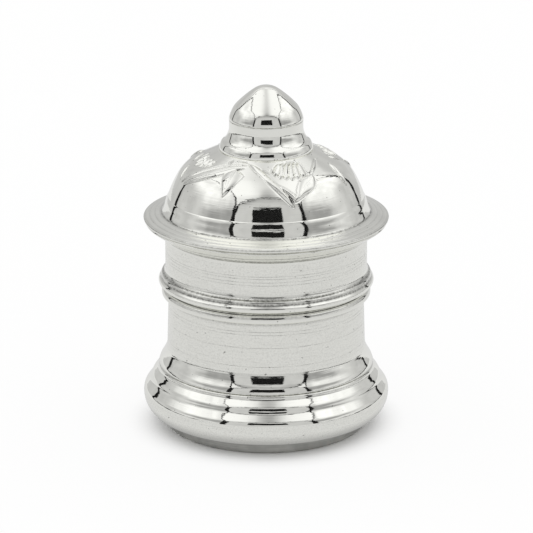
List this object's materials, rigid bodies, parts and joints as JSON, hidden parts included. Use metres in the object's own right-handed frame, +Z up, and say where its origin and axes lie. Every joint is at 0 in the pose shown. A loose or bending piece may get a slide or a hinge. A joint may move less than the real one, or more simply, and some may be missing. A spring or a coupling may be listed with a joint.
{
  "type": "kumkum box",
  "caption": "Small round box of spun silver for vermilion powder, on a moulded foot, with a domed push-on lid that has leaf sprays in low relief and a bud finial.",
  "frame": {"origin": "middle of the underside, on the surface that the box stands on", "axes": "+Z up along the axis of the box and the lid; -Y towards the viewer of the picture"},
  "size_m": [0.022, 0.022, 0.031],
  "materials": {
    "polished_silver": "polished on the lathe, with fine lines round the walls",
    "base_silver": "dull, left from soldering and lightly brushed"
  },
  "bodies": {
    "box": {"base_plate": "base_silver", "foot_moulding": "polished_silver", "body_drum": "polished_silver", "stop_ring": "polished_silver"},
    "lid": {"lid_skirt": "polished_silver", "lid_dome": "polished_silver", "finial_neck": "polished_silver", "finial_bud": "polished_silver"}
  },
  "joints": [
    {"name": "lid_lift", "type": "slide", "parent": "box", "child": "lid", "axis": [0, 0, 1], "range_m": [0, 0.025]}
  ]
}
